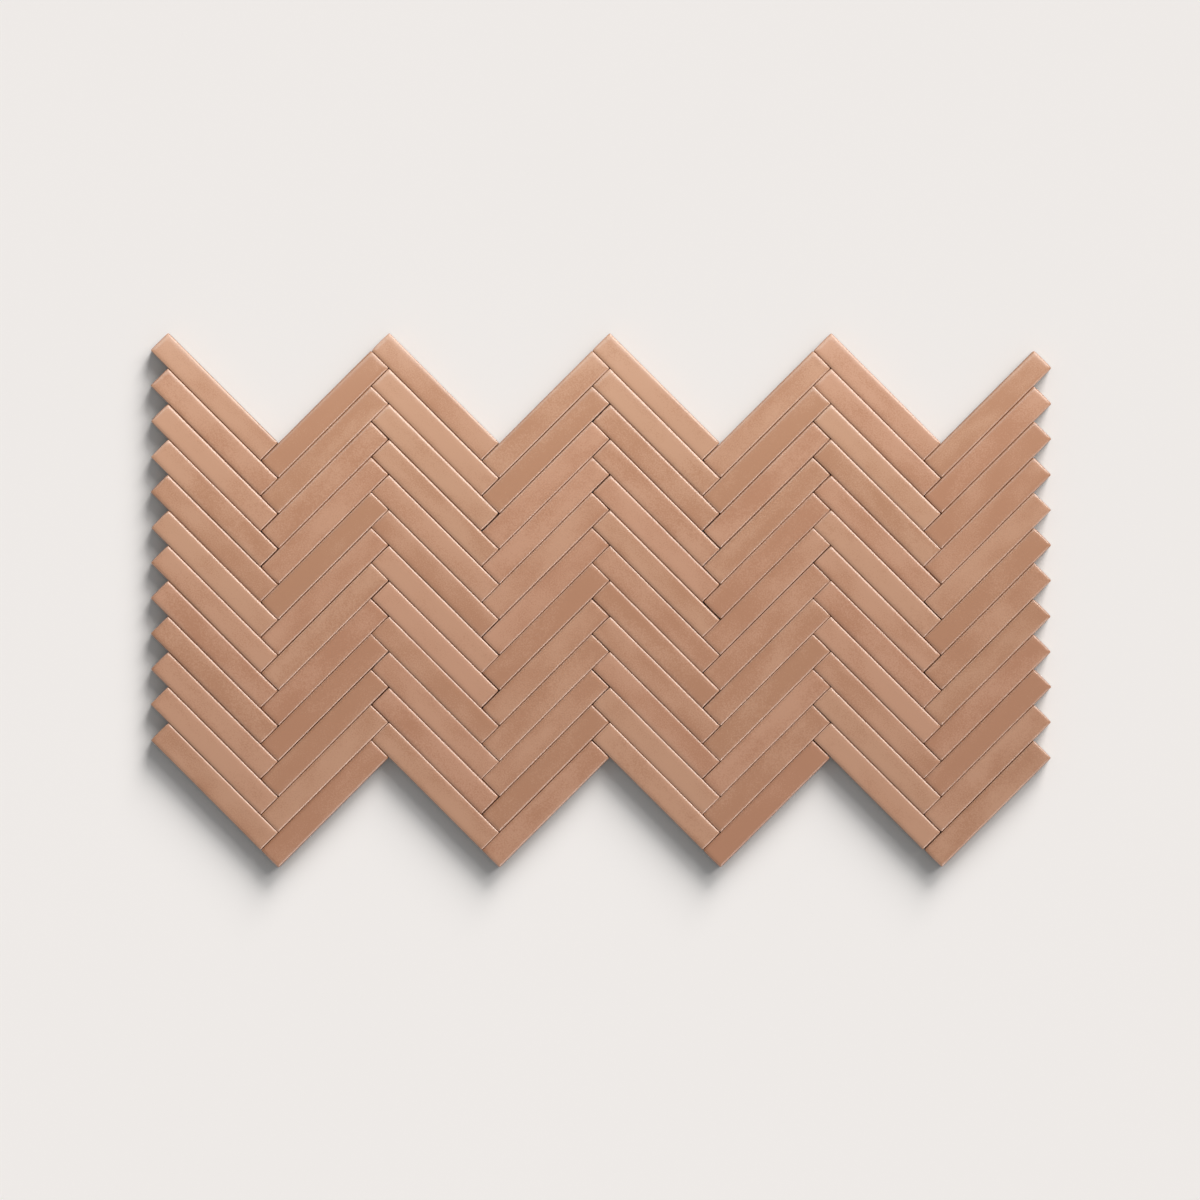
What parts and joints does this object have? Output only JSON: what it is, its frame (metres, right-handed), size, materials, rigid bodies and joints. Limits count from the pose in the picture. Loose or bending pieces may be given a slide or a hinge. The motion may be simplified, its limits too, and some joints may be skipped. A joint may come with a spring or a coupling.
{
  "type": "herringbone mosaic tile sheet",
  "caption": "Mosaic sheet of slim glazed clay sticks laid in a herringbone zigzag with narrow open joints, held on a backing net for bonding to a wall or floor.",
  "frame": {"origin": "middle of the sheet's outline, at the underside of the backing net", "axes": "+X along the row of columns, +Y up the columns, +Z out of the glazed face"},
  "size_m": [0.4452, 0.2638, 0.0084],
  "materials": {
    "glazed_clay": "satin",
    "glass_fibre_net": "matte"
  },
  "bodies": {
    "root": {"tile_column_1": "glazed_clay", "tile_column_2": "glazed_clay", "tile_column_3": "glazed_clay", "tile_column_4": "glazed_clay", "tile_column_5": "glazed_clay", "tile_column_6": "glazed_clay", "tile_column_7": "glazed_clay", "tile_column_8": "glazed_clay", "backing_mesh_1": "glass_fibre_net", "backing_mesh_2": "glass_fibre_net", "backing_mesh_3": "glass_fibre_net", "backing_mesh_4": "glass_fibre_net", "backing_mesh_5": "glass_fibre_net", "backing_mesh_6": "glass_fibre_net", "backing_mesh_7": "glass_fibre_net", "backing_mesh_8": "glass_fibre_net"}
  },
  "joints": []
}
